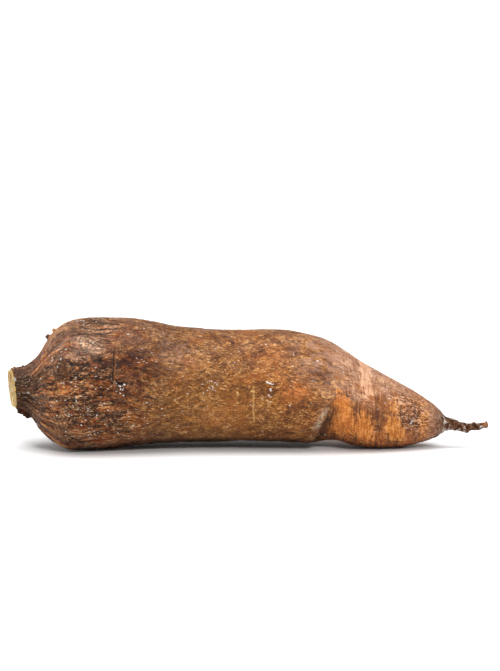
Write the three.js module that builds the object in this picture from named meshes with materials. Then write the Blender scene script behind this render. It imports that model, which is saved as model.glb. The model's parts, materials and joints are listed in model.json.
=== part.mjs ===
// A whole cassava root lying on its side, in millimetres.
//
// The root grew as one piece, so it is one solid: a short woody neck where it was cut from the plant, a broad
// head, a body that narrows slowly, a second, slimmer lobe past a fold, and a thin tail.
// +X runs from the neck to the tail, -Y is the root's front and +Z is up. The origin is on the surface that the
// root lies on, under the middle of its box.

import * as THREE from "three";

// Sections along the root, from the cut neck to the end of the tail. Each is an oval across X:
// x, then the height and sideways place of its centre, then half its height and half its depth.
const SECTIONS = [
  [-136.8, 34.9, -7.0, 11.4, 11.6],
  [-129.6, 34.3, -6.6, 12.6, 12.6],
  [-124.6, 33.7, -6.0, 16.0, 15.8],
  [-119.4, 33.4, -5.0, 22.2, 22.4],
  [-113.0, 35.1, -4.0, 29.6, 30.2],
  [-105.3, 36.1, -3.0, 35.5, 35.2],
  [-96.0, 36.8, -2.2, 37.4, 36.8],
  [-84.0, 37.1, -1.2, 38.0, 37.4],
  [-70.0, 37.3, 0.0, 37.0, 36.8],
  [-54.0, 36.9, 1.2, 34.9, 35.4],
  [-36.0, 36.0, 2.0, 32.9, 34.0],
  [-15.0, 35.6, 2.2, 32.0, 33.2],
  [7.0, 35.5, 2.0, 32.0, 32.8],
  [25.0, 34.8, 1.6, 31.8, 32.0],
  [38.0, 33.6, 1.2, 30.6, 30.4],
  [47.0, 31.9, 0.8, 28.8, 28.4],
  [56.0, 28.4, 0.4, 26.6, 26.8],
  [66.0, 24.2, 0.0, 24.4, 25.0],
  [77.0, 20.6, -0.4, 21.8, 22.2],
  [88.5, 17.6, -1.0, 17.6, 18.0],
  [98.5, 16.2, -1.6, 13.2, 13.4],
  [106.0, 14.9, -2.2, 9.8, 9.8],
  [111.0, 14.1, -2.6, 6.5, 6.4],
  [115.0, 13.2, -3.0, 3.6, 3.5],
  [119.0, 12.7, -3.4, 3.3, 3.2],
  [125.5, 11.5, -4.2, 2.7, 2.6],
  [132.0, 12.1, -4.8, 2.2, 2.1],
  [138.9, 13.4, -5.0, 1.8, 1.7],
];

// Swellings and hollows that the ovals leave out: x, the angle round the root from its top towards its front,
// the reach along X, the reach round the root, and the rise, which is negative in a hollow. Angles are in degrees.
const SWELLS = [
  [-100, 35, 13, 34, 1.8],
  [-104, 150, 12, 30, 1.6],
  [-98, 265, 14, 32, 2.0],
  [-66, 80, 16, 30, 1.2],
  [-58, 300, 18, 40, 1.4],
  [-30, 100, 18, 36, -1.2],
  [-12, 230, 20, 34, 1.4],
  [12, 40, 16, 30, 1.0],
  [47, 138, 7, 26, -3.6],
  [49, 215, 8, 30, -2.0],
  [32, 118, 12, 30, 1.4],
  [62, 110, 11, 36, 1.6],
  [82, 290, 12, 40, 1.2],
  [-50, 200, 16, 20, 2.4],
  [-24, 201, 18, 22, 3.2],
  [6, 201, 18, 22, 3.4],
  [32, 202, 13, 22, 2.4],
];

const ROWS_PER_SECTION = 2.6; // rows of points that the skin gets for each of the sections above
const SIDES = 36;
const CUT_TURN = 0.27; // how far the cut neck's face leans round to the front, as a slope
const CUT_LEAN = 0.1; // how far its lower edge is set back, as a slope
const CUT_LENGTH = 16; // the neck's length over which both slopes fade out
const FLAT_DEPTH = 0.8; // how far the root is pressed flat where it rests

const radians = THREE.MathUtils.degToRad;

// Two smooth curves through the sections: one carries the centre line, the other the half sizes.
const centreLine = new THREE.CatmullRomCurve3(
  SECTIONS.map(([x, z, y]) => new THREE.Vector3(x, y, z)), false, "catmullrom", 0.5);
const halfSizes = new THREE.CatmullRomCurve3(
  SECTIONS.map(([x, , , high, deep]) => new THREE.Vector3(x, deep, high)), false, "catmullrom", 0.5);

// The rise of all the swellings together at a place on the skin.
function swelling(x, angle) {
  let rise = 0;
  for (const [at, degrees, along, round, height] of SWELLS) {
    const turn = Math.atan2(Math.sin(angle - radians(degrees)), Math.cos(angle - radians(degrees)));
    rise += height * Math.exp(-(((x - at) / along) ** 2) - (turn / radians(round)) ** 2);
  }
  return rise;
}

// A point of the skin: u runs from 0 at the neck to 1 at the tail, reach from 0 on the centre line to 1 at the
// skin, and angle from the root's top towards its front.
function skinPoint(u, reach, angle) {
  const centre = centreLine.getPoint(u);
  const half = halfSizes.getPoint(u);
  const rise = swelling(centre.x, angle);
  const out = -reach * (half.y + rise) * Math.sin(angle);
  const up = reach * (half.z + rise) * Math.cos(angle);
  const fade = Math.max(0, 1 - (centre.x - SECTIONS[0][0]) / CUT_LENGTH);
  const lean = -(CUT_TURN * out + CUT_LEAN * up) * fade;
  return new THREE.Vector3(centre.x + lean, centre.y + out, centre.z + up);
}

// The solid starts as a unit spindle turned on a lathe, a row of points to each height, and every row is then
// set to its own place along the root. The first and last rows close its ends on the centre line.
function rootGeometry() {
  const rows = Math.round((SECTIONS.length - 1) * ROWS_PER_SECTION);
  const profile = [new THREE.Vector2(0, 0), new THREE.Vector2(0.5, 0)];
  for (let row = 0; row <= rows; row++) profile.push(new THREE.Vector2(1, row / rows));
  profile.push(new THREE.Vector2(0, 1));

  const geometry = new THREE.LatheGeometry(profile, SIDES);
  const places = geometry.getAttribute("position");
  for (let i = 0; i < places.count; i++) {
    const reach = Math.hypot(places.getX(i), places.getZ(i));
    const angle = Math.atan2(places.getX(i), places.getZ(i));
    const point = skinPoint(places.getY(i), reach, angle);
    places.setXYZ(i, point.x, point.y, point.z);
  }
  return geometry;
}

// Lowers the root until its lowest stretch is pressed flat on the surface, and centres its box over the origin.
function laidDown(geometry) {
  geometry.computeBoundingBox();
  const box = geometry.boundingBox;
  geometry.translate(-(box.min.x + box.max.x) / 2, -(box.min.y + box.max.y) / 2, -box.min.z - FLAT_DEPTH);
  const places = geometry.getAttribute("position");
  for (let i = 0; i < places.count; i++) places.setZ(i, Math.max(0, places.getZ(i)));
  geometry.computeVertexNormals();
  return geometry;
}

const bark = new THREE.MeshStandardMaterial({ color: 0x8a5a32, roughness: 0.5, metalness: 0 });
const root = new THREE.Mesh(laidDown(rootGeometry()), bark);
root.name = "cassava_root";

const group = new THREE.Group();
group.add(root);

export default group;
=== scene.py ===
# A whole cassava root lying on a pale table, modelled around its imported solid.
#
# The root grew as one piece. The sections below follow it as it is made: the table and the lights, the
# plain form drawn out from the neck to the tail, the cut neck, the broken rootlets, the bark's relief, and
# the waxed finish.

import json
from math import cos, pi, radians, sin

import bpy
import numpy as np
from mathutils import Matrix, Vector, noise

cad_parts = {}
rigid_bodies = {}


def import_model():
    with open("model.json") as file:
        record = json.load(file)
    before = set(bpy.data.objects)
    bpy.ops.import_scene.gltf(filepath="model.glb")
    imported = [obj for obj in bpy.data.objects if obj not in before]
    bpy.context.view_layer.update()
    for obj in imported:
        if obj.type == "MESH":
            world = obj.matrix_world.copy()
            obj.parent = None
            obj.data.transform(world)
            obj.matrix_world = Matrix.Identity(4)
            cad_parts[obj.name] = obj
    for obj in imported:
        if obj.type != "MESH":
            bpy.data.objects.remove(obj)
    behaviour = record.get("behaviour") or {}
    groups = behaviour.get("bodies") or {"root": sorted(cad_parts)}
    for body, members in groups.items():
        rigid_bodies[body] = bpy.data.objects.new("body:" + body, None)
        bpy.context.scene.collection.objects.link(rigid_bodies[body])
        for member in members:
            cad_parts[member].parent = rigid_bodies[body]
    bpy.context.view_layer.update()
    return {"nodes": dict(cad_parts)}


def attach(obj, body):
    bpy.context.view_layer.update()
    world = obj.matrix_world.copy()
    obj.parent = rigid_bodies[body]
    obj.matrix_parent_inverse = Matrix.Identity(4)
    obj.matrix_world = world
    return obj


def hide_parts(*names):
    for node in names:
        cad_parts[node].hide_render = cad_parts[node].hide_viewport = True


MM = 0.001

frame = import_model()
cad_root = frame["nodes"]["cassava_root"]
bpy.ops.object.select_all(action="DESELECT")


# ----------------------------------------------------------------------------------------------------
# The table, the light and the camera. A pale matt table runs out of sight under a white tent, with a broad
# soft light overhead, a smaller one from the front and a faint one from the left, so that the root's top is
# bright, its bark shows its relief, and its belly falls into shade.

TABLE_SIZE = 12.0
TABLE_PAINT = 0.90
SKY_AT_TABLE = 1.05
SKY_OVERHEAD = 0.42
SKY_IN_FRONT = 0.20
# Where the tent changes, as parts of a direction's length: upwards where it dims overhead, towards the back
# where its open front ends, and upwards where its low wall ends on the open side
SKY_DIMS = (0.12, 0.35)
FRONT_ENDS = (-0.7, 0.0)
WALL_ENDS = (0.16, 0.10)
VIEW_AZIMUTH = radians(0)
VIEW_ELEVATION = radians(7)
VIEW_DISTANCE = 0.909
VIEW_TARGET = Vector((0.0010, 0.0, 0.0648))
LENS = 85

bpy.ops.mesh.primitive_plane_add(size=TABLE_SIZE, location=(0, 0, 0))
table = bpy.context.object
table.name = "table"
table_paint = bpy.data.materials.new("table_paint")
table_paint.use_nodes = True
table_shader = table_paint.node_tree.nodes["Principled BSDF"]
table_shader.inputs["Base Color"].default_value = (TABLE_PAINT, TABLE_PAINT, TABLE_PAINT, 1)
table_shader.inputs["Roughness"].default_value = 0.9
table_shader.inputs["Specular IOR Level"].default_value = 0.1
table.data.materials.append(table_paint)

# The tent is white low down, where it closes the view, and dimmer overhead and on the open side in front.
tent = bpy.data.worlds.new("white_tent")
tent.use_nodes = True
nodes, links = tent.node_tree.nodes, tent.node_tree.links
direction = nodes.new("ShaderNodeTexCoord")
direction_parts = nodes.new("ShaderNodeSeparateXYZ")
links.new(direction.outputs["Generated"], direction_parts.inputs["Vector"])


def tent_step(part, low, high, to_low=0.0, to_high=1.0):
    """A smooth step of one part of a direction, X, Y or Z, from one range to another."""
    made = nodes.new("ShaderNodeMapRange")
    made.interpolation_type = "SMOOTHSTEP"
    for name, value in (("From Min", low), ("From Max", high), ("To Min", to_low), ("To Max", to_high)):
        made.inputs[name].default_value = value
    links.new(direction_parts.outputs[part], made.inputs["Value"])
    return made.outputs["Result"]


def tent_maths(operation, first, second):
    """One arithmetic step on two brightnesses of the tent."""
    made = nodes.new("ShaderNodeMath")
    made.operation = operation
    links.new(first, made.inputs[0])
    links.new(second, made.inputs[1])
    return made.outputs["Value"]


fall = tent_step("Z", *SKY_DIMS, SKY_AT_TABLE, SKY_OVERHEAD)
closed = tent_maths("MAXIMUM", tent_step("Y", *FRONT_ENDS, SKY_IN_FRONT), tent_step("Z", *WALL_ENDS))
brightness = tent_maths("MULTIPLY", fall, closed)
nodes["Background"].inputs["Color"].default_value = (1, 1, 1, 1)
links.new(brightness, nodes["Background"].inputs["Strength"])
bpy.context.scene.world = tent


def soft_sun(name, azimuth, elevation, spread, strength):
    """A broad patch of even light from one side of the tent, at a compass angle and a height."""
    side = Vector((sin(azimuth) * cos(elevation), -cos(azimuth) * cos(elevation), sin(elevation)))
    bpy.ops.object.light_add(type="SUN", location=side)
    lamp = bpy.context.object
    lamp.name = name
    lamp.data.angle = spread
    lamp.data.energy = strength
    lamp.rotation_euler = side.to_track_quat("Z", "Y").to_euler()


soft_sun("overhead_light", azimuth=radians(0), elevation=radians(80), spread=radians(60), strength=3.2)
soft_sun("front_light", azimuth=radians(15), elevation=radians(38), spread=radians(12), strength=1.2)
soft_sun("left_light", azimuth=radians(-85), elevation=radians(25), spread=radians(50), strength=0.6)

view_side = Vector((sin(VIEW_AZIMUTH) * cos(VIEW_ELEVATION),
                    -cos(VIEW_AZIMUTH) * cos(VIEW_ELEVATION),
                    sin(VIEW_ELEVATION)))
bpy.ops.object.camera_add(location=VIEW_TARGET + view_side * VIEW_DISTANCE)
camera = bpy.context.object
camera.data.lens = LENS
camera.rotation_euler = view_side.to_track_quat("Z", "Y").to_euler()
bpy.context.scene.camera = camera
bpy.context.scene.view_settings.view_transform = "Standard"


# ----------------------------------------------------------------------------------------------------
# The plain form. A ring of points is set round the cut neck and drawn out along the root section by
# section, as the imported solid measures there, then closed at the tail, smoothed, and drawn onto the solid's
# own skin.

RING_POINTS = 33
RINGS = 43
SMOOTHING = 3
SLICE = 1.6 * MM
MERGE = 0.02 * MM
FIRST_RING_IN = 3.0 * MM
LAST_RING_IN = 0.4 * MM
CAP_INSET = 4 * MM

bpy.context.view_layer.objects.active = cad_root
cad_root.select_set(True)
bpy.ops.object.duplicate()
skin = bpy.context.object
skin.name = "plain_skin"
bpy.ops.object.parent_clear(type="CLEAR_KEEP_TRANSFORM")
bpy.ops.object.mode_set(mode="EDIT")
bpy.ops.mesh.select_all(action="SELECT")
bpy.ops.mesh.remove_doubles(threshold=MERGE)
bpy.ops.mesh.tris_convert_to_quads()
bpy.ops.object.mode_set(mode="OBJECT")
rounding = skin.modifiers.new("rounding", "SUBSURF")
rounding.levels = rounding.render_levels = 2
bpy.ops.object.modifier_apply(modifier="rounding")


def points_of(mesh, name="co"):
    """The places or the normals of a mesh's points, as rows."""
    found = np.empty(len(mesh.vertices) * 3, np.float32)
    mesh.vertices.foreach_get(name, found)
    return found.reshape(-1, 3).astype(float)


skin_points = points_of(skin.data)


def section(x):
    """The middle and the half sizes of the plain skin's oval at x."""
    near = skin_points[np.abs(skin_points[:, 0] - x) < SLICE]
    low, high = near.min(0), near.max(0)
    return (low + high) / 2, (high - low) / 2


# The root's outline measured every few millimetres: where its middle runs, how thick it is, and how far a
# point has come along the skin from the neck.
STEP = 1.5 * MM
first_x, last_x = skin_points[:, 0].min() + FIRST_RING_IN, skin_points[:, 0].max() - LAST_RING_IN
outline_x = np.arange(first_x, last_x, STEP)
outline = [section(x) for x in outline_x]
middle_y = np.array([middle[1] for middle, _ in outline])
middle_z = np.array([middle[2] for middle, _ in outline])
half_deep = np.array([half[1] for _, half in outline])
half_high = np.array([half[2] for _, half in outline])
thickness = (half_deep + half_high) / 2
run = np.concatenate([[0], np.cumsum(np.hypot(np.diff(outline_x), np.diff(thickness)))])

bpy.ops.object.select_all(action="DESELECT")
bpy.ops.mesh.primitive_circle_add(vertices=RING_POINTS, radius=1, rotation=(0, pi / 2, 0))
root = bpy.context.object
root.name = "cassava_root_bark"
bpy.ops.object.transform_apply(location=False, rotation=True, scale=True)
bpy.ops.object.mode_set(mode="EDIT")
bpy.ops.mesh.select_all(action="SELECT")
size = [1.0, 1.0]
place = Vector((0, 0, 0))
for ring in range(RINGS):
    x = float(np.interp(run[-1] * ring / (RINGS - 1), run, outline_x))
    centre = Vector((x, np.interp(x, outline_x, middle_y), np.interp(x, outline_x, middle_z)))
    deep, high = float(np.interp(x, outline_x, half_deep)), float(np.interp(x, outline_x, half_high))
    if ring:
        bpy.ops.mesh.extrude_edges_move()
    bpy.ops.transform.translate(value=centre - place)
    bpy.ops.transform.resize(value=(1, deep / size[0], high / size[1]), center_override=centre)
    place, size = centre, [deep, high]
bpy.ops.mesh.fill()
bpy.ops.mesh.select_all(action="DESELECT")
bpy.ops.object.mode_set(mode="OBJECT")
for vertex in root.data.vertices:
    vertex.select = bool(vertex.co.x < first_x + 0.1 * MM)
bpy.ops.object.mode_set(mode="EDIT")
bpy.ops.mesh.select_mode(type="EDGE")
bpy.ops.mesh.fill()
bpy.ops.mesh.select_mode(type="FACE")
bpy.ops.mesh.inset(thickness=CAP_INSET)
bpy.ops.mesh.select_all(action="SELECT")
bpy.ops.mesh.normals_make_consistent(inside=False)
bpy.ops.object.mode_set(mode="OBJECT")
rounding = root.modifiers.new("rounding", "SUBSURF")
rounding.levels = rounding.render_levels = SMOOTHING
wrapping = root.modifiers.new("wrapping", "SHRINKWRAP")
wrapping.target = skin
wrapping.wrap_method = "NEAREST_SURFACEPOINT"
bpy.ops.object.modifier_apply(modifier="rounding")
bpy.ops.object.modifier_apply(modifier="wrapping")
bpy.data.objects.remove(skin)
bpy.ops.object.shade_smooth()


# ----------------------------------------------------------------------------------------------------
# The cut neck. The root was chopped and snapped off its stem here: a lip of dry bark, and inside it a stub
# of pale wood that stands a little proud and broke at two levels, the near one lower and cleaner.

LIP = 0.9 * MM
WOOD_PROUD = 1.4 * MM
WOOD_STEPS = 3
FACE_RINGS = 9

facing = np.array([polygon.normal * polygon.area for polygon in cad_root.data.polygons
                   if polygon.normal.x < -0.8 and polygon.center.x < first_x])
cut_normal = Vector(facing.sum(0)).normalized()
cut_reach = max(vertex.co.dot(cut_normal) for vertex in root.data.vertices)

bpy.ops.object.mode_set(mode="EDIT")
bpy.ops.mesh.select_all(action="SELECT")
bpy.ops.mesh.bisect(plane_co=cut_normal * (cut_reach - WOOD_PROUD), plane_no=cut_normal, clear_outer=True,
                    use_fill=True)
bpy.ops.object.mode_set(mode="OBJECT")
cut_face = max((polygon for polygon in root.data.polygons if polygon.select), key=lambda face: face.area)
cut_middle = cut_face.center.copy()
cut_radius = (cut_face.area / pi) ** 0.5
bpy.ops.object.mode_set(mode="EDIT")


def draw_cut(shift, radius_before, radius_after):
    """Pulls the cut face out by a shift along its normal and narrows it from one radius to the next."""
    narrow = radius_after / radius_before
    new_middle = cut_middle + cut_normal * shift
    bpy.ops.mesh.extrude_region_move(TRANSFORM_OT_translate={"value": cut_normal * shift})
    bpy.ops.transform.resize(value=(narrow, narrow, narrow), center_override=new_middle)


wood_radius = cut_radius - LIP
draw_cut(0, cut_radius, wood_radius)
for _ in range(WOOD_STEPS):
    draw_cut(WOOD_PROUD / WOOD_STEPS, wood_radius, wood_radius)
    cut_middle = cut_middle + cut_normal * WOOD_PROUD / WOOD_STEPS
ring_radii = np.linspace(wood_radius, wood_radius / FACE_RINGS / 2, FACE_RINGS)
for before, after in zip(ring_radii, ring_radii[1:]):
    draw_cut(0, before, after)
bpy.ops.mesh.poke()
for _ in range(FACE_RINGS + WOOD_STEPS):
    bpy.ops.mesh.select_more()
bpy.ops.object.vertex_group_add()
bpy.ops.object.vertex_group_assign()
root.vertex_groups[-1].name = "cut_face"
bpy.ops.mesh.select_all(action="DESELECT")
bpy.ops.object.mode_set(mode="OBJECT")


# ----------------------------------------------------------------------------------------------------
# The broken rootlets and scraps. Side rootlets snapped off short and curls of loose bark stand on the skin,
# each drawn out of it in a few short pulls that thin towards the tip.

# x in mm and degrees round from the top towards the front, reach on the bark, length, lean along x, taper
SPROUTS = [
    (-113.5, -10, 2.3, 3.6, -0.35, 0.80),
    (-110.5, -14, 1.6, 2.6, -0.10, 0.75),
    (-129.5, 165, 3.0, 3.0, -0.25, 0.80),
    (-125.5, 160, 2.4, 2.6, -0.20, 0.80),
    (-128.5, 5, 1.2, 1.3, -0.20, 0.70),
    (-134.0, -15, 1.6, 1.1, -0.50, 0.75),
    (-90.0, 235, 1.9, 2.2, 0.30, 0.75),
    (28.0, 250, 1.6, 1.8, 0.40, 0.75),
    (88.0, 300, 1.4, 1.6, 0.50, 0.75),
]
PULLS = 3
OUTSIDE = 60 * MM


def select_faces(wanted):
    """Leaves only the root's faces for which wanted(face) holds selected, and opens edit mode on them."""
    for polygon in root.data.polygons:
        polygon.select = bool(wanted(polygon))
    bpy.ops.object.mode_set(mode="EDIT")


def on_bark(x, angle):
    """The place on the plain skin at x and at an angle round it from the top towards the front."""
    x = x * MM
    middle = Vector((x, np.interp(x, outline_x, middle_y), np.interp(x, outline_x, middle_z)))
    outward = Vector((0, -sin(radians(angle)), cos(radians(angle))))
    _, place, normal, _ = root.ray_cast(middle + outward * OUTSIDE, -outward)
    return place, normal


for x, angle, reach, length, lean, taper in SPROUTS:
    place, normal = on_bark(x, angle)
    select_faces(lambda face: (face.center - place).length < reach * MM)
    pull = (normal + Vector((lean, 0, 0))).normalized() * length * MM / PULLS
    for _ in range(PULLS):
        bpy.ops.mesh.extrude_region_move(TRANSFORM_OT_translate={"value": pull})
        place = place + pull
        bpy.ops.transform.resize(value=(taper, taper, taper), center_override=place)
    bpy.ops.mesh.select_all(action="DESELECT")
    bpy.ops.object.mode_set(mode="OBJECT")


# ----------------------------------------------------------------------------------------------------
# The bark's relief. Ropes of bark run out of the neck, cracks and plates cover the old bark of the head,
# finer fibres follow, and the tail lobe has cross wrinkles and rubbed patches. It is worked into the mesh
# point by point, in millimetres.

ROUND = 33.0
plain = points_of(root.data) / MM
outward = points_of(root.data, "normal")
x_mm = plain[:, 0]
from_middle_y = plain[:, 1] - np.interp(x_mm * MM, outline_x, middle_y) / MM
from_middle_z = plain[:, 2] - np.interp(x_mm * MM, outline_x, middle_z) / MM
angle = np.arctan2(-from_middle_y, from_middle_z)
radius = np.hypot(from_middle_y, from_middle_z)
run_mm = np.interp(x_mm * MM, outline_x, run) / MM

wood_group = root.vertex_groups["cut_face"].index
wood = np.array([any(g.group == wood_group and g.weight > 0 for g in vertex.groups)
                 for vertex in root.data.vertices], float)


def noise_at(places, octaves=1):
    """Noise from about -1 to 1 at each of many places, in one octave or in several."""
    if octaves == 1:
        return np.array([noise.noise(place) for place in places.tolist()])
    return np.array([noise.fractal(place, 1.0, 2.0, octaves) for place in places.tolist()])


def grain(along, across, seed, slant=0.0, octaves=1, wander=0.0):
    """Noise over the bark whose grains are so many mm long and wide, slanted round the root."""
    turn = angle + (slant * run_mm + wander) / ROUND
    spots = np.column_stack([run_mm / along + 37.0 * seed, ROUND * np.sin(turn) / across,
                             ROUND * np.cos(turn) / across + 11.0 * seed])
    return noise_at(spots, octaves)


def plates(along, across, seed, wander=0.0, crack=0.22):
    """How near each point is to the crack round its plate of bark: 1 in the crack, 0 on the plate."""
    turn = angle + wander / ROUND
    spots = np.column_stack([run_mm / along + 37.0 * seed, ROUND * np.sin(turn) / across,
                             ROUND * np.cos(turn) / across])
    nearest = np.array([noise.voronoi(spot)[0][:2] for spot in spots.tolist()])
    return np.clip(1 - (nearest[:, 1] - nearest[:, 0]) / crack, 0, 1)


def rise(low, high, value):
    """A smooth step from 0 at low to 1 at high."""
    part = np.clip((value - low) / (high - low), 0, 1)
    return part * part * (3 - 2 * part)


def around(degrees):
    """The angle from each point to a place round the root, in radians, the short way."""
    return (angle - radians(degrees) + pi) % (2 * pi) - pi


def off_line(spots):
    """How far each point is, in mm on the skin, from a line drawn through places given as x and degrees."""
    nearest = np.full(len(x_mm), 1e3)
    for (x0, a0), (x1, a1) in zip(spots, spots[1:]):
        size = np.maximum(radius, 3)
        px, pa = x_mm - x0, around(a0) * size
        dx, da = x1 - x0, radians(a1 - a0) * size
        part = np.clip((px * dx + pa * da) / (dx * dx + da * da), 0, 1)
        nearest = np.minimum(nearest, np.hypot(px - part * dx, pa - part * da))
    return nearest


def line_mark(spots, width):
    """A soft mark along a line on the bark: 1 on the line, falling away over the width beside it."""
    return np.exp(-(off_line(spots) / width) ** 2)


# Where each kind of bark is: 1 on it, 0 off it.
edge_wander = 9 * grain(34, 26, 1)
neck = 1 - rise(-127, -117, x_mm + 0.3 * edge_wander)
shoulder = 1 - rise(-110, -92, x_mm + 0.3 * edge_wander)
head = 1 - rise(-88, -46, x_mm + edge_wander)
lobe = rise(36, 66, x_mm + 0.9 * edge_wander)
string = rise(108, 113, x_mm)
body = 1 - string
skin_on = 1 - wood

wander = 3.5 * grain(22, 15, 2) + 1.2 * grain(9, 7, 3)
ropes = grain(30, 2.9, 4, octaves=2, wander=wander)
cords = grain(15, 1.5, 5, wander=wander)
crack_patches = rise(-0.22, 0.2, grain(26, 12, 6))
cracks = np.clip(1 - np.abs(grain(22, 3.4, 7, wander=wander)) * 7, 0, 1) * crack_patches
hair_patches = rise(-0.1, 0.3, grain(17, 9, 9))
hair_cracks = np.clip(1 - np.abs(grain(12, 1.9, 8, wander=wander)) * 5, 0, 1) * hair_patches
plate_cracks = plates(8.5, 4.6, 10, wander) * rise(-0.15, 0.25, grain(24, 16, 11))
fibres = (grain(8, 1.25, 12, slant=0.28, octaves=2) + grain(8, 1.25, 13, slant=-0.22, octaves=2)) / 2
wrinkles = grain(1.9, 17, 14, octaves=2)
lumps = 0.9 * grain(23, 20, 15) + 0.4 * grain(10, 8, 16)
pimples = rise(0.42, 0.62, grain(2.6, 2.2, 17))

# Each kind's height or depth in mm, times how much of it there is on the shoulder, the head and the lobe.
ROPES_HIGH, CORDS_HIGH, FIBRES_HIGH, PIMPLES_HIGH = 0.72, 0.40, 0.34, 0.26
CRACKS_DEEP, HAIR_CRACKS_DEEP, PLATE_CRACKS_DEEP = 0.95, 0.45, 0.60
LOBE_WRINKLES_HIGH, NECK_WRINKLES_HIGH = 0.18, 0.10
fine = (ROPES_HIGH * ropes * (0.30 + 0.95 * shoulder) * (0.15 + 0.85 * head)
        + CORDS_HIGH * cords * (0.3 + 0.9 * shoulder) * (0.12 + 0.88 * head)
        - CRACKS_DEEP * cracks * (0.08 + 0.92 * head)
        - HAIR_CRACKS_DEEP * hair_cracks * (0.2 + 0.8 * head)
        - PLATE_CRACKS_DEEP * plate_cracks * (0.05 + 0.95 * head)
        + FIBRES_HIGH * fibres * (1 - 0.4 * lobe)
        + LOBE_WRINKLES_HIGH * wrinkles * lobe
        + NECK_WRINKLES_HIGH * wrinkles * neck
        + PIMPLES_HIGH * pimples * (0.25 + 0.75 * head))

# The cracks, folds and rings that this root has one by one. Each is a line through places on the bark, given
# as x in mm and degrees round from the top towards the front, with its width and depth in mm.
GROOVES = [
    (1.1, 1.0, [(-103, 57), (-98.2, 65), (-94, 66.5), (-89.2, 66), (-84.5, 63), (-79.9, 60)]),
    (0.8, 0.7, [(-92.8, 71), (-89, 71.5), (-85.2, 70), (-79.7, 69), (-76, 68)]),
    (0.8, 0.6, [(-98.6, 79), (-95, 75), (-91.5, 71)]),
    (0.9, 0.9, [(-97, 4), (-87.2, 8), (-75, 10)]),
    (0.9, 1.0, [(-96, 23), (-86.5, 20), (-74, 19)]),
    (0.9, 1.0, [(-95, 28), (-86, 30), (-74, 25)]),
    (1.0, 0.9, [(-99, 40), (-90, 36), (-84, 35), (-74, 31)]),
    (0.8, 0.7, [(-93, 14), (-84, 15), (-76, 15)]),
    (0.8, 0.6, [(-94.2, 122), (-83.7, 121), (-72.6, 122)]),
    (0.8, 0.5, [(-91.3, 131), (-84.6, 130), (-77, 128)]),
    (0.9, 0.6, [(-110, 126), (-102.6, 133), (-94, 138)]),
    (0.9, 0.6, [(-78.9, 109), (-75.2, 116), (-71.6, 123)]),
    (1.0, 0.8, [(-72.5, 82), (-68.6, 83), (-64.5, 81)]),
    (0.8, 0.6, [(-124, 92), (-117, 104), (-110, 112)]),
    (0.8, 0.5, [(-121, 80), (-114, 76), (-106, 82)]),
    (0.9, 0.6, [(-70, 226), (-55, 230), (-44, 226)]),
    (1.0, 0.7, [(-104, 262), (-92, 256), (-80, 260)]),
    (0.9, 0.6, [(-96, 300), (-84, 304), (-72, 300)]),
]
# The fold that pinches off the tail lobe, in front and behind
FOLD = (2.5, 2.1, [(49.5, 94), (47.2, 104), (46.0, 114), (43.9, 128), (40.9, 152), (39.5, 168)])
FOLD_BACK = (2.6, 0.9, [(50, 196), (53, 216), (52, 236)])
# The rim that swells beside the fold: how wide, how high, and how far before the fold it runs
FOLD_RIM = (3.4, 0.9, 5.2)
# The raised plate of bark: x, degrees, half length, half width and how high it stands
PLATE = (-92.5, 51.0, 16.0, 10.5, 1.0)
# The pit beside the plate: its width and depth, and the short line it runs along
PIT = (1.3, 1.0, [(-104.1, 36), (-102.6, 36)])
# x, and the degrees where each ring starts and ends
RING_CRACKS = [(-74.6, 42, 98), (-58.0, 205, 300)]
RING_SCARS = [(3.2, 80, 121), (-34.0, 255, 330), (24.0, 190, 250), (74.5, 225, 290)]
RING_CRACK_DEEP, RING_LIP_HIGH, RING_SCAR_HIGH = 0.75, 0.30, 0.14
# x, degrees, half length, half width round the root
PEELS = [(52.8, 110, 7.0, 15.5), (65.6, 114, 6.6, 11.5), (83.0, 106, 5.2, 9.0), (82.4, 74, 3.2, 7.0),
         (99.6, 84, 2.4, 9.0), (61.0, 252, 6.0, 10.0), (79.0, 238, 5.0, 11.0), (40.0, 205, 5.0, 5.0),
         (97.0, 285, 3.0, 6.0)]
PEEL_DEPTH = 0.28
# x and degrees where each run of white wax starts and ends, and its half width; the one from x -103.4 is a
# painted glint
WAX_AND_GLINT_RUNS = [
    (94.0, 82, 92.2, 94, 0.45), (69.8, 121, 72.6, 114, 0.25), (10.4, 77, 13.0, 79, 0.50),
    (10.6, 89, 12.9, 93, 0.32), (10.8, 98, 12.6, 97, 0.20), (-22.7, 75, -18.2, 78, 0.28),
    (10.2, 71, 12.1, 71, 0.10), (-21.7, 83, -17.8, 80, 0.26), (-71.8, 84, -70.2, 85, 0.50),
    (-129.9, 94, -129.3, 94, 0.55), (-127.1, 91, -126.6, 91, 0.50), (-124.6, 88, -123.8, 88, 0.50),
    (-66.0, 66, -56.0, 61, 0.10), (-55.0, 58, -50.0, 57, 0.10), (-97.0, 16, -93.0, 12, 0.60),
    (31.3, 29, 34.8, 36, -0.05), (35.9, 41, 38.6, 50, -0.05), (-103.4, 81, -101.8, 80, 0.45),
    (-91.4, 95, -90.2, 97, 0.30), (-76.0, 83, -73.0, 80, 0.20), (-133.4, 50, -132.0, 60, 0.90),
]
WAX_HIGH = 0.25
# The knots and hollows of the tail string: height, x, half length, degrees and half width in radians
KNOTS = [
    (1.0, 126.0, 1.5, 180, 0.8), (0.7, 130.5, 1.4, 0, 0.8), (0.7, 117.0, 2.0, 10, 1.0),
    (-0.7, 113.6, 0.9, 0, np.inf), (-0.5, 122.5, 1.4, 0, 1.2), (-0.5, 129.0, 1.4, 180, 0.9),
]
STRING_SHRUNK = 0.35
# How far before the cut's level the lip of bark starts and is full
LIP_STARTS, LIP_FULL = 5.5, 2.2
# Where along y the cut wood steps down to its near half, and by how much
WOOD_SPLIT = (-7.4, -8.6)
NEAR_HALF_LOWER = 0.9
# How far the end of the tail string is drawn in
TAIL_TRIM = 1.5


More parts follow.
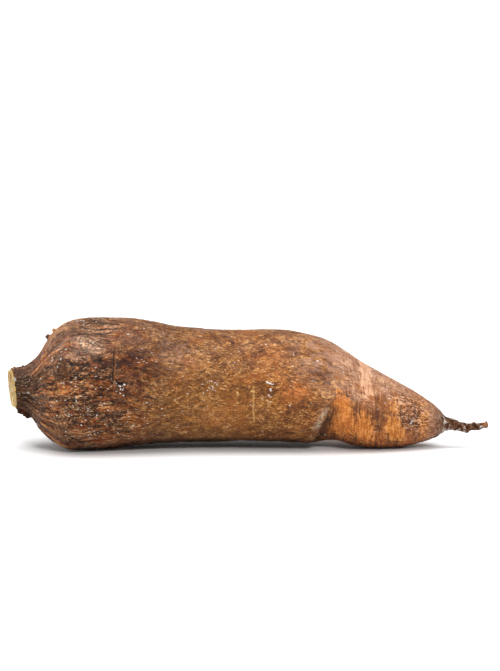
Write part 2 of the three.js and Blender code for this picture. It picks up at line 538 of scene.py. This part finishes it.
ring_waver = 0.35 * np.sin(3.1 * angle) + 0.5 * grain(30, 5, 20)


def ring_distance(rings):
    """The signed distance in mm along the root to the ring mark near each point, or 9 where none is."""
    found = np.full(len(x_mm), 9.0)
    for x, start, end in rings:
        middle, reach = (start + end) / 2, radians(end - start) / 2
        inside = np.abs(around(middle)) < reach
        away = x_mm - x - ring_waver
        found = np.where(inside & (np.abs(away) < np.abs(found)), away, found)
    return found


grooves = np.zeros(len(x_mm))
for width, depth, spots in GROOVES:
    grooves = np.maximum(grooves, depth * line_mark(spots, width))
grooves = grooves * np.clip(0.8 + 1.2 * grain(5, 3, 21), 0, 1.4)

folds = 0
for width, depth, spots in (FOLD, FOLD_BACK):
    folds = folds + depth * line_mark(spots, width)
rim_wide, rim_high, rim_off = FOLD_RIM
fold_rim = rim_high * line_mark([(x - rim_off, degrees) for x, degrees in FOLD[2]], rim_wide)

plate_x, plate_angle, plate_long, plate_wide, plate_rise = PLATE
on_plate = rise(0, 0.45, 1 - np.hypot((x_mm - plate_x) / plate_long,
                                      around(plate_angle) * radius / plate_wide))
pit_wide, pit_deep, pit_spots = PIT
pit = pit_deep * line_mark(pit_spots, pit_wide)

ring_crack = ring_distance(RING_CRACKS)
ring_scar = ring_distance(RING_SCARS)
from_strongest = np.abs(np.degrees(around(73)))
crack_strength = rise(-0.6, 0.0, grain(8, 9, 24)) * (0.6 + 0.4 * rise(26, 12, from_strongest))

peel = np.full(len(x_mm), -9.0)
for x, degrees, long, wide in PEELS:
    from_middle = np.hypot((x_mm - x) / long, around(degrees) * radius / wide)
    peel = np.maximum(peel, (1 - from_middle) * min(long, wide))
peel = np.clip(peel + 1.5 * grain(2.6, 10, 22, octaves=2), -4, 4)

wax_run = np.full(len(x_mm), -4.0)
for start_x, start, end_x, end, width in WAX_AND_GLINT_RUNS:
    wax_run = np.maximum(wax_run, width - off_line([(start_x, start), (end_x, end)]))

# The tail string's knots, the lip's ragged edge and the broken wood.
knots = -STRING_SHRUNK
for high, x, long, degrees, wide in KNOTS:
    knots = knots + high * np.exp(-((x_mm - x) / long) ** 2 - (around(degrees) / wide) ** 2)
string_bark = 0.55 * noise_at(plain / [4, 1.4, 1.4], 3)

cut = np.array(cut_normal)
towards_cut = plain @ cut
cut_level = towards_cut.max()
wood_face = wood * rise(cut_level - 0.7, cut_level - 0.3, towards_cut)
near_half = rise(*WOOD_SPLIT, plain[:, 1] + 0.9 * noise_at(plain / 2.2))
rough = noise_at(plain / 1.3, 3)
lip = (1 - wood) * rise(cut_level - LIP_STARTS, cut_level - LIP_FULL, towards_cut)

height_mm = (body * (lumps + fine * (1 - 0.6 * on_plate) - grooves - folds + fold_rim - pit
                     + plate_rise * on_plate
                     - RING_CRACK_DEEP * crack_strength * np.exp(-(ring_crack / 0.8) ** 2)
                     + RING_LIP_HIGH * crack_strength * np.exp(-((ring_crack - 1.6) / 1.0) ** 2)
                     + RING_SCAR_HIGH * np.exp(-(ring_scar / 0.8) ** 2)
                     + WAX_HIGH * rise(-0.3, 0.5, wax_run)
                     - PEEL_DEPTH * rise(-0.3, 0.3, peel))
             + string * (knots + string_bark))
height_mm = height_mm * skin_on + 0.35 * lip * rough
along_cut = wood_face * (0.28 * rough - NEAR_HALF_LOWER * near_half) + 0.6 * lip * rough

shaped = plain + outward * height_mm[:, None] + cut * along_cut[:, None]
shaped[:, 0] -= TAIL_TRIM * rise(126, 139, x_mm)
shaped[:, 2] = np.maximum(shaped[:, 2], 0)
root.data.vertices.foreach_set("co", (shaped * MM).ravel())
root.data.update()


def keep(name, values):
    """Stores one number, or one place, for each point of the bark, for the finish to read."""
    kind = "FLOAT" if values.ndim == 1 else "FLOAT_VECTOR"
    layer = root.data.attributes.new(name, kind, "POINT")
    layer.data.foreach_set("value" if values.ndim == 1 else "vector", values.ravel().astype(np.float32))


def patches(*places):
    """Soft patches of colour, each given as its share, x, degrees, half length and half width round."""
    return sum(share * np.exp(-((x_mm - x) / long) ** 2 - (around(degrees) * radius / wide) ** 2)
               for share, x, degrees, long, wide in places)


# The bark's fibres run along the root, and finer ones cross it to the left and the right.
FIBRE_SLANT = 0.26
for name, slant in (("flow", 0), ("flow_left", -FIBRE_SLANT), ("flow_right", FIBRE_SLANT)):
    turned = angle + (slant * run_mm + wander) / ROUND
    keep(name, np.column_stack([run_mm, ROUND * np.sin(turned), ROUND * np.cos(turned)]))

# Where the relief shows and what kind of bark is where.
keep("relief", fine)
cracked = 0.35 * cracks * head
cracked = np.maximum(cracked, 1.5 * grooves) + 0.15 * plate_cracks * head + pit
keep("crack", np.clip(cracked, 0, 1) * skin_on)
keep("head", head)
keep("old_bark", np.maximum(head, 0.45 * (1 - rise(-60, 10, x_mm + edge_wander))) * (1 - 0.45 * shoulder))
keep("neck", neck)
keep("neck_grey", patches((1.0, -121, 22, 12, 8.5)) * skin_on)
keep("shoulder", shoulder)
keep("lobe", lobe)
keep("string", string)
keep("string_end", rise(135.5, 138.0, x_mm + 1.2 * np.cos(angle)))
keep("wood", wood)
keep("wood_reach", np.linalg.norm(np.cross(plain - np.array(cut_middle) / MM, cut), axis=1))
keep("upward", np.cos(angle))

# The marks on it: rings, rubbed and peeled places, the band worn over the lobe, and the wax, with a painted
# glint among its runs and a painted highlight beside the fold.
keep("ring_crack", ring_crack)
keep("crack_strength", crack_strength)
keep("ring_scar", ring_scar)
keep("peel", peel)
keep("tanned", rise(57, 75, x_mm) * 0.55)
degrees_from_top = np.degrees(np.abs((angle + pi) % (2 * pi) - pi))
keep("rubbed", rise(44, 52, x_mm + 0.14 * (degrees_from_top - 110) + 2 * grain(5, 8, 35))
     * rise(35, 27, plain[:, 2] + 8 * grain(7, 9, 33)) * rise(108, 96, x_mm))
keep("speckled", np.clip(patches((1.5, 91, 65, 9, 8), (0.9, 97, 78, 7, 12)), 0, 1))
BAND_X = 66.4
keep("tan_band", rise(-5.0, -1.0, x_mm - BAND_X) * rise(3.8, 2.8, x_mm - BAND_X + 0.8 * grain(3, 4, 30))
     * rise(52, 30, np.abs(np.degrees(around(28))) + 22 * grain(2.5, 3, 31)))
keep("flake", patches((1.0, -127.5, 163, 3.5, 6)))
# The raised plate and the head's crest are tan, lightened with painted sheen.
keep("plate_tan", np.maximum(on_plate, patches((0.6, -88, 20, 20, 16))) * rise(-0.4, 0.2, grain(9, 3, 34)))
keep("wax_run", wax_run)
# Pale wax beside the fold, with a painted highlight on the rim that swells there.
keep("fold_wax", line_mark([(43.4, 105), (40.6, 116), (38.6, 127)], 2.0))

# The colours that lie on the bark in patches.
# Patches of wax film, partly painted sheen where the upper bark would shine.
keep("film", np.clip(patches(
    (1.0, -39, 50, 10, 8), (1.2, 42, 38, 18, 20), (0.9, -94, 46, 14, 11), (0.6, 86, 36, 20, 14),
    (0.4, -114, 30, 12, 10), (0.6, -20, 330, 40, 16), (0.5, 60, 320, 30, 14)), 0, 1))
keep("red", np.clip(line_mark([(-66, 68), (-50, 58)], 1.3) + patches(
    (1.0, 27, 84, 7, 7), (1.0, -69, 74, 5, 3.5), (0.45, 14, 52, 12, 8), (0.5, -100, 84, 10, 10),
    (1.0, -20, 240, 16, 8)), 0, 1))
keep("wet", np.clip(patches((1.0, -64, 66, 14, 24), (0.45, -88, 80, 10, 9)), 0, 1))
keep("gold", np.clip(patches((1.0, -22, 106, 30, 20), (0.8, -20, 200, 40, 30)), 0, 1))
# Painted shade in the fold that pinches off the tail lobe, kept with the soot-brown smears.
painted_shade_in_fold = 1.5 * line_mark([(48.6, 104), (46.4, 118), (44.2, 132), (43.0, 150)], 2.6)
keep("soot", np.clip(painted_shade_in_fold + patches(
    (0.35, -61, 84, 11, 9), (1.3, -127, 98, 11, 15), (0.9, 60.3, 92, 2.2, 9), (0.9, 73.4, 94, 2.6, 10),
    (0.7, 91.5, 88, 4.0, 11), (0.8, 109, 95, 4, 26), (0.3, -58, 46, 12, 9)), 0, 1))
# How thickly the white wax crumbs lie, with painted glints among them, thicker on the head.
specks_everywhere = 0.01 + 0.07 * head + 0.13 * (1 - lobe) * rise(0.1, 0.5, grain(16, 9, 32))
keep("specks", np.clip(specks_everywhere + patches(
    (1.3, -91, 103, 9, 7), (0.9, -99.5, 83, 5, 3), (0.9, -71, 85, 6, 4), (0.7, -88, 132, 9, 4),
    (0.5, -126, 66, 5, 5), (0.8, -58, 62, 9, 3), (0.15, -20, 79, 7, 5), (0.20, 12, 84, 4, 8),
    (0.10, 85, 60, 18, 10), (0.25, 46, 48, 10, 7), (0.4, -110, 45, 8, 8), (0.25, -60, 120, 20, 10)), 0, 1))


# ----------------------------------------------------------------------------------------------------
# The finish. Brown bark, darker and greyer at the neck, golden and fibrous along the middle, pink and tan
# on the tail lobe, with dark cracks, orange patches where the skin was rubbed off, and an uneven coat of
# clear wax.

SHINE = 0.10
WAX_COAT = 0.18
WAX_COAT_ROUGHNESS = 0.16
ROUGHEST, SMOOTHEST = 0.52, 0.34
BUMP_HIGH = 0.85 * MM

bark = bpy.data.materials.new("waxed_bark")
bark.use_nodes = True
tree = bark.node_tree
shader = tree.nodes["Principled BSDF"]


def node(kind, sockets=None, **settings):
    """Adds a node with the given settings, each socket either linked or set."""
    made = tree.nodes.new("ShaderNode" + kind)
    for name, value in settings.items():
        setattr(made, name, value)
    for name, value in (sockets or {}).items():
        if isinstance(value, bpy.types.NodeSocket):
            tree.links.new(value, made.inputs[name])
        else:
            made.inputs[name].default_value = value
    return made


def tint(red, green, blue):
    """A colour as seen, in parts of 255, as the shader's own linear light."""
    return tuple(((c / 255 + 0.055) / 1.055) ** 2.4 for c in (red, green, blue)) + (1,)


def kept(name):
    """The number kept for each point under this name."""
    return node("Attribute", attribute_name=name).outputs["Fac"]


def maths(operation, *values):
    """One arithmetic step on numbers or sockets."""
    return node("Math", dict(enumerate(values)), operation=operation).outputs[0]


def times(first, *others):
    """The product of numbers or sockets."""
    for other in others:
        first = maths("MULTIPLY", first, other)
    return first


def mixed(*parts):
    """The sum of several values, each with its share."""
    total = None
    for value, share in parts:
        part = maths("MULTIPLY", value, share)
        total = part if total is None else maths("ADD", total, part)
    return total


def step(value, low, high, to_low=0.0, to_high=1.0):
    """A smooth step of a value from one range to another."""
    return node("MapRange", {"Value": value, "From Min": low, "From Max": high, "To Min": to_low,
                             "To Max": to_high}, interpolation_type="SMOOTHSTEP").outputs["Result"]


def near(value, target, width):
    """1 where a value is at its target, falling to 0 at a width either side."""
    return step(maths("ABSOLUTE", maths("SUBTRACT", value, target)), width, width * 0.3)


def paint(under, over, amount, how="MIX"):
    """One colour laid over another."""
    mix = node("Mix", data_type="RGBA", blend_type=how)
    for socket, value in ((mix.inputs[0], amount), (mix.inputs[6], under), (mix.inputs[7], over)):
        if isinstance(value, bpy.types.NodeSocket):
            tree.links.new(value, socket)
        else:
            socket.default_value = value
    return mix.outputs[2]


def shades(value, *stops):
    """Colours spread over a value from 0 to 1, each stop given as its place and its colour."""
    ramp = node("ValToRGB", {"Fac": value})
    while len(ramp.color_ramp.elements) < len(stops):
        ramp.color_ramp.elements.new(0.5)
    for element, (spot, colour) in zip(ramp.color_ramp.elements, stops):
        element.position, element.color = spot, colour
    return ramp.outputs["Color"]


def centred(value):
    """Noise from 0 to 1 moved to lie evenly about 0."""
    return maths("SUBTRACT", value, 0.5)


ways = {name: node("Attribute", attribute_name=name).outputs["Vector"]
        for name in ("flow", "flow_left", "flow_right")}


def on_way(way, shift, along, across):
    """Places along one way of the fibres, scaled so that a pattern there is so many mm long and wide."""
    return node("Mapping", {"Vector": ways[way], "Location": (shift, shift, shift),
                            "Scale": (1 / along, 1 / across, 1 / across)}).outputs["Vector"]


def streaks(along, across, detail=3.0, shift=0.0, rough=0.55, way="flow", bend=0.0):
    """Noise from 0 to 1 whose streaks are so many mm long and wide on the bark."""
    return node("TexNoise", {"Vector": on_way(way, shift, along, across), "Scale": 1.0, "Detail": detail,
                             "Roughness": rough, "Distortion": bend}).outputs["Fac"]


# The patterns that the colours follow, from single threads and crumbs to broad blotches.
left = streaks(2.5, 1.1, 2, 3, 0.65, "flow_left", 1.0)
right = streaks(2.9, 1.0, 2, 11, 0.65, "flow_right", 0.9)
strand = streaks(9, 1.5, 3, 17, 0.6, "flow", 0.4)
mottle = streaks(6, 4, 4, 23, 0.6)
blotch = streaks(14, 9, 3, 29, 0.6)
crumbs = streaks(1.3, 0.95, 2, 43, 0.7)
cross = streaks(1.0, 8, 3, 57, 0.6)
rope = streaks(11, 2.6, 3, 61, 0.6, "flow", 1.0)
rope_fine = streaks(6, 1.6, 2, 67, 0.6, "flow", 1.0)

# Each zone's own bark, run together where the zones meet.
relief = step(kept("relief"), -0.75, 0.75)
tone = step(mixed((mottle, 0.22), (blotch, 0.18), (left, 0.2), (right, 0.2), (crumbs, 0.2)), 0.38, 0.62)
# The head's tone takes a share of painted shade from the relief: darker in the hollows, lighter on the raised
# bark.
head_tone = step(mixed((mottle, 0.3), (strand, 0.3), (crumbs, 0.2), (relief, 0.2)), 0.34, 0.66)
cross_tone = step(mixed((cross, 0.55), (mottle, 0.25), (crumbs, 0.2)), 0.36, 0.64)

head_bark = shades(head_tone, (0.05, tint(54, 24, 8)), (0.33, tint(126, 57, 9)), (0.62, tint(172, 89, 22)),
                   (0.95, tint(226, 164, 98)))
middle_bark = shades(tone, (0.03, tint(54, 27, 9)), (0.35, tint(106, 57, 13)), (0.65, tint(141, 82, 21)),
                     (0.97, tint(178, 122, 48)))
lobe_bark = shades(mixed((tone, 0.5), (cross_tone, 0.5)), (0.08, tint(112, 64, 38)),
                   (0.5, tint(178, 123, 90)), (0.92, tint(224, 182, 152)))
rubbed_bark = shades(mixed((crumbs, 0.4), (cross_tone, 0.6)), (0.08, tint(110, 54, 14)),
                     (0.5, tint(162, 88, 28)), (0.92, tint(204, 128, 58)))
colour = paint(middle_bark, head_bark, kept("head"))
colour = paint(colour, lobe_bark, kept("lobe"))
colour = paint(colour, rubbed_bark, times(kept("rubbed"), 0.9))

# It is browner in some places and redder or more golden in others.
hue = streaks(20, 12, 2, 83, 0.5)
colour = paint(colour, tint(92, 48, 22), times(step(hue, 0.50, 0.36), 0.4))
colour = paint(colour, tint(168, 92, 34), times(step(hue, 0.54, 0.68), 0.4))
colour = paint(colour, tint(148, 98, 38), times(kept("gold"), 0.35))
red_amount = times(kept("red"), step(mixed((mottle, 0.5), (left, 0.5)), 0.42, 0.58, 0.1, 0.9))
colour = paint(colour, tint(212, 120, 50), times(red_amount, 0.75))
# Tan on the raised plate, with painted sheen over the crest of the head.
tan_and_sheen_amount = times(kept("plate_tan"), step(head_tone, 0.15, 0.6, 0.25, 0.9))
colour = paint(colour, tint(232, 186, 154), tan_and_sheen_amount)

# The neck's bark is old, brown and grey.
neck_bark = shades(head_tone, (0.1, tint(26, 12, 5)), (0.5, tint(92, 44, 13)), (0.9, tint(156, 102, 62)))
colour = paint(colour, neck_bark, kept("neck"))
grey_scales = step(mixed((rope_fine, 0.5), (crumbs, 0.5)), 0.47, 0.57)
colour = paint(colour, tint(134, 120, 124), times(kept("neck_grey"), grey_scales, 0.8))
colour = paint(colour, tint(132, 56, 14), times(kept("neck"), step(mottle, 0.52, 0.62), 0.7))
colour = paint(colour, tint(140, 62, 34), times(kept("flake"), step(crumbs, 0.4, 0.6), 0.9))

# Fibres cross the middle: dark threads, and pale ones that catch the light.
dark_threads = maths("MAXIMUM", step(left, 0.44, 0.36), step(right, 0.44, 0.36))
pale_threads = maths("MAXIMUM", step(left, 0.58, 0.66), step(right, 0.58, 0.66))
patchy = step(blotch, 0.38, 0.6, 0.25, 1.0)
colour = paint(colour, tint(50, 25, 12), times(dark_threads, patchy, 0.5))
thinned = step(mixed((blotch, 0.5), (mottle, 0.5)), 0.42, 0.58, 0.05, 0.95)
colour = paint(colour, tint(212, 164, 108), times(pale_threads, thinned, 0.6))

# Small flecks, dark and pale, all over the bark.
flecks = streaks(1.9, 0.9, 1, 97, 0.6, "flow_left", 0.6)
bare = maths("SUBTRACT", 1.0, maths("MAXIMUM", times(kept("rubbed"), 0.8), times(kept("shoulder"), 0.7)))
pale_flecks = times(step(flecks, 0.63, 0.70), bare, step(mottle, 0.40, 0.55, 0.3, 1.0))
colour = paint(colour, tint(48, 24, 12), times(step(flecks, 0.37, 0.30), bare, 0.75))
colour = paint(colour, tint(218, 172, 116), times(pale_flecks, 0.75))

# Peeled patches, with the inner skin's orange showing in cross streaks, paler and tanner towards the tail.
peel_edge = mixed((kept("peel"), 1.0), (centred(cross), 9.0), (centred(crumbs), 3.0),
                  (centred(mottle), 9.0))
peeled = times(step(peel_edge, -0.3, 0.6), step(kept("lobe"), 0.0, 0.3))
inner_skin = shades(mixed((cross_tone, 0.65), (step(crumbs, 0.35, 0.65), 0.35)), (0.1, tint(166, 86, 30)),
                    (0.45, tint(198, 112, 40)), (0.85, tint(214, 142, 70)))
tanned_skin = shades(cross_tone, (0.1, tint(140, 80, 26)), (0.5, tint(188, 120, 50)),
                     (0.9, tint(216, 158, 88)))
inner_skin = paint(inner_skin, tanned_skin, kept("tanned"))
colour = paint(colour, inner_skin, times(peeled, 0.9))

# Brown stains round the peeled patches, speckles at the tail, and the pale band worn over the lobe.
stain = step(mixed((streaks(3.0, 20, 3, 89, 0.6), 0.75), (crumbs, 0.25)), 0.49, 0.40)
ticks = step(mixed((crumbs, 0.4), (cross, 0.6)), 0.44, 0.36)
stain_amount = times(stain, kept("rubbed"), step(kept("peel"), 3.0, 0.5, 0.25, 0.85))
ticks_amount = times(ticks, kept("rubbed"), step(kept("peel"), 3.0, 0.5, 0.15, 0.6))
colour = paint(colour, tint(84, 44, 16), stain_amount)
colour = paint(colour, tint(76, 40, 16), ticks_amount)
speckle = streaks(2.4, 2.0, 2, 113, 0.6, "flow", 0.8)
colour = paint(colour, tint(58, 32, 20), times(step(speckle, 0.49, 0.42), kept("speckled"), 0.8))
colour = paint(colour, tint(236, 182, 142), times(step(speckle, 0.54, 0.61), kept("speckled"), 0.8))
band = step(mixed((kept("tan_band"), 1.0), (centred(crumbs), 1.4), (centred(cross), 1.6)), 0.3, 0.8)
band_colour = shades(cross_tone, (0.1, tint(194, 136, 100)), (0.8, tint(230, 182, 146)))
colour = paint(colour, band_colour, times(band, 0.85))

# Soil and painted shade held in the cracks and hollows, with a painted highlight on the lip beside them, and
# soot-brown smears.
# The soot-brown smears, and painted shade in the fold before the tail lobe.
colour = paint(colour, tint(56, 32, 20), times(kept("soot"), step(cross, 0.3, 0.62, 1.0, 0.45)))
on_old_bark = kept("old_bark")
broken = step(blotch, 0.38, 0.54, 0.3, 1.0)
# Painted highlights on the lips of the ropes beside their cracks.
lip_highlights = maths("MAXIMUM", near(rope, 0.565, 0.035), times(near(rope_fine, 0.565, 0.04), 0.8))
colour = paint(colour, tint(226, 178, 132), times(lip_highlights, broken, on_old_bark, step(crumbs, 0.4, 0.54), 0.85))
# Painted shade in the hollows of the old bark's relief.
shaded_hollows = step(kept("relief"), -0.2, -0.75)
colour = paint(colour, tint(42, 22, 12), times(shaded_hollows, on_old_bark, 0.35))
# Dark soil and painted shade in the cracks and along the rope lines.
crack_soil_and_shade = tint(34, 25, 24)
colour = paint(colour, crack_soil_and_shade, times(step(kept("crack"), 0.35, 0.9), 0.8))
lines = maths("MAXIMUM", near(rope, 0.5, 0.030), times(near(rope_fine, 0.5, 0.038), 0.9))
colour = paint(colour, crack_soil_and_shade, times(lines, broken, on_old_bark, 0.95))

# The ring marks: a broken dark crack with a rusty lip, and a thin pale scar.
ring, ring_strength = kept("ring_crack"), kept("crack_strength")
ring_dark = times(near(ring, 0.0, 0.7), step(ring_strength, 0.45, 0.95))
ring_rust = times(near(ring, 0.95, 0.55), ring_strength, step(crumbs, 0.35, 0.6, 0.35, 0.85),
                  step(mottle, 0.42, 0.58, 0.4, 1.0))
scar = times(near(kept("ring_scar"), 0.0, 0.75), step(crumbs, 0.40, 0.54, 0.25, 0.9))
colour = paint(colour, tint(44, 26, 20), times(ring_dark, 0.85))
colour = paint(colour, tint(196, 126, 76), ring_rust)
colour = paint(colour, tint(188, 148, 88), scar)

# Places where the bark stayed wet and dark.
wetness = times(kept("wet"), step(mottle, 0.60, 0.42, 0.50, 0.90))
colour = paint(colour, tint(146, 100, 64), wetness, "MULTIPLY")

# The tail string is dry and dark, and pale where it snapped.
STRING_GRAINS_PER_METRE = 420
string_spots = node("TexNoise", {"Vector": node("TexCoord").outputs["Object"],
                                 "Scale": STRING_GRAINS_PER_METRE, "Detail": 3.0})
string_colour = shades(string_spots.outputs["Fac"], (0.36, tint(40, 22, 12)), (0.47, tint(104, 60, 30)),
                       (0.54, tint(128, 98, 80)), (0.62, tint(216, 202, 190)))
colour = paint(colour, string_colour, kept("string"))
colour = paint(colour, tint(206, 132, 72), times(kept("string_end"), step(crumbs, 0.35, 0.6, 0.3, 0.9)))

# Painted shade: the lower sides are darker, and the belly that lies on the table is darker still.
painted_flank_shade = times(step(kept("upward"), -0.2, -0.75), maths("SUBTRACT", 1.0, kept("lobe")))
colour = paint(colour, tint(202, 194, 186), times(painted_flank_shade, 0.5), "MULTIPLY")
# Painted shade, darkest where the belly meets the table.
painted_belly_shade = step(kept("upward"), -0.80, -0.97)
colour = paint(colour, tint(44, 26, 16), times(painted_belly_shade, 0.6))

# The wax: a milky film where it pooled, partly painted sheen, with more painted sheen along the top, and
# small white crumbs and runs, some of them painted glints.
film = times(kept("film"), step(streaks(6, 3.5, 3, 71), 0.38, 0.62, 0.15, 1.0))
painted_top_sheen = times(step(kept("upward"), 0.2, 1.0), step(blotch, 0.4, 0.65, 0.05, 0.30))
# Painted sheen in pale grey-pink over the film's patches and over the top of the root.
colour = paint(colour, tint(192, 154, 134), times(maths("MAXIMUM", film, painted_top_sheen), 0.40))
# A painted highlight, in pale wax grey, on the rim just before the fold.
fold_wax_and_highlight_amount = times(kept("fold_wax"), step(mixed((crumbs, 0.5), (left, 0.5)), 0.42, 0.58, 0.05, 0.75))
colour = paint(colour, tint(176, 166, 146), fold_wax_and_highlight_amount)


def crumb_and_glint_layer(long, wide, shift, way, share):
    """White crumbs of wax, with painted glints among them, so many mm long and wide, on a share of their
    places where wax gathered.
    """
    cells = node("TexVoronoi", {"Vector": on_way(way, shift, long, wide), "Scale": 1.0}, feature="F1")
    pick = node("SeparateColor", {"Color": cells.outputs["Color"]}).outputs[0]
    chosen = maths("LESS_THAN", pick, times(kept("specks"), share))
    size = mixed((cells.outputs["Distance"], 1.0), (crumbs, 0.6))
    return times(step(size, 0.56, 0.44), chosen)


wax_crumbs_and_glints = maths("MAXIMUM", crumb_and_glint_layer(2.2, 1.4, 5, "flow_left", 0.5),
                   crumb_and_glint_layer(2.8, 1.1, 19, "flow_right", 0.5))
wax_and_glint_runs = step(mixed((kept("wax_run"), 1.0), (centred(crumbs), 2.4)), -0.05, 0.3)
white_wax_and_glints = maths("MAXIMUM", wax_crumbs_and_glints, wax_and_glint_runs)
# White wax, with painted glints among its crumbs and runs.
colour = paint(colour, tint(244, 236, 228), times(white_wax_and_glints, 0.9))

# The cut wood: cream, with brown streaks and faint growth rings round a brown pith, and a yellow line round
# it under the bark.
WOOD_GRAINS_PER_METRE = (1500, 900, 160)
GROWTH_RING = 1.496
PITH_EDGE, PITH_CORE = 1.9, 1.0
wood_spots = node("Mapping", {"Vector": node("TexCoord").outputs["Object"],
                              "Scale": WOOD_GRAINS_PER_METRE}).outputs["Vector"]
wood_streaks = node("TexNoise", {"Vector": wood_spots, "Scale": 1.0, "Detail": 3.0}).outputs["Fac"]
rings = maths("SINE", mixed((kept("wood_reach"), 2 * pi / GROWTH_RING), (mottle, 5.0)))
wood_tone = maths("ADD", mixed((wood_streaks, 0.8), (rings, 0.035)), 0.1)
wood_colour = shades(wood_tone, (0.34, tint(150, 92, 40)), (0.42, tint(236, 186, 104)),
                     (0.60, tint(255, 230, 172)))
pith = step(kept("wood_reach"), PITH_EDGE, PITH_CORE)
wood_colour = paint(wood_colour, tint(168, 118, 66), times(pith, 0.8))
wood_edge = mixed((kept("wood"), 1.0), (centred(crumbs), 0.5))
colour = paint(colour, tint(250, 206, 104), step(wood_edge, 0.30, 0.5))
colour = paint(colour, wood_colour, step(wood_edge, 0.7, 0.95))

tree.links.new(colour, shader.inputs["Base Color"])
roughness = maths("SUBTRACT", step(tone, 0.0, 1.0, ROUGHEST, SMOOTHEST), times(white_wax_and_glints, 0.15))
tree.links.new(roughness, shader.inputs["Roughness"])
shader.inputs["Specular IOR Level"].default_value = SHINE
shader.inputs["Coat Weight"].default_value = WAX_COAT
shader.inputs["Coat Roughness"].default_value = WAX_COAT_ROUGHNESS

# Threads, crumbs, wax and fine cracks stand up or sink a little, too finely for the mesh.
grain_height = mixed((left, 0.5), (right, 0.5), (crumbs, 0.5), (strand, 0.4), (white_wax_and_glints, 0.4),
                     (times(lines, on_old_bark), -0.5), (times(lip_highlights, on_old_bark), 0.25),
                     (times(cross, kept("lobe")), 0.4))
bump = node("Bump", {"Height": grain_height, "Strength": 1.0, "Distance": BUMP_HIGH})
tree.links.new(bump.outputs["Normal"], shader.inputs["Normal"])
tree.links.new(bump.outputs["Normal"], shader.inputs["Coat Normal"])
root.data.materials.append(bark)

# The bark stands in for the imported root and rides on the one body.
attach(root, "root")
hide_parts("cassava_root")
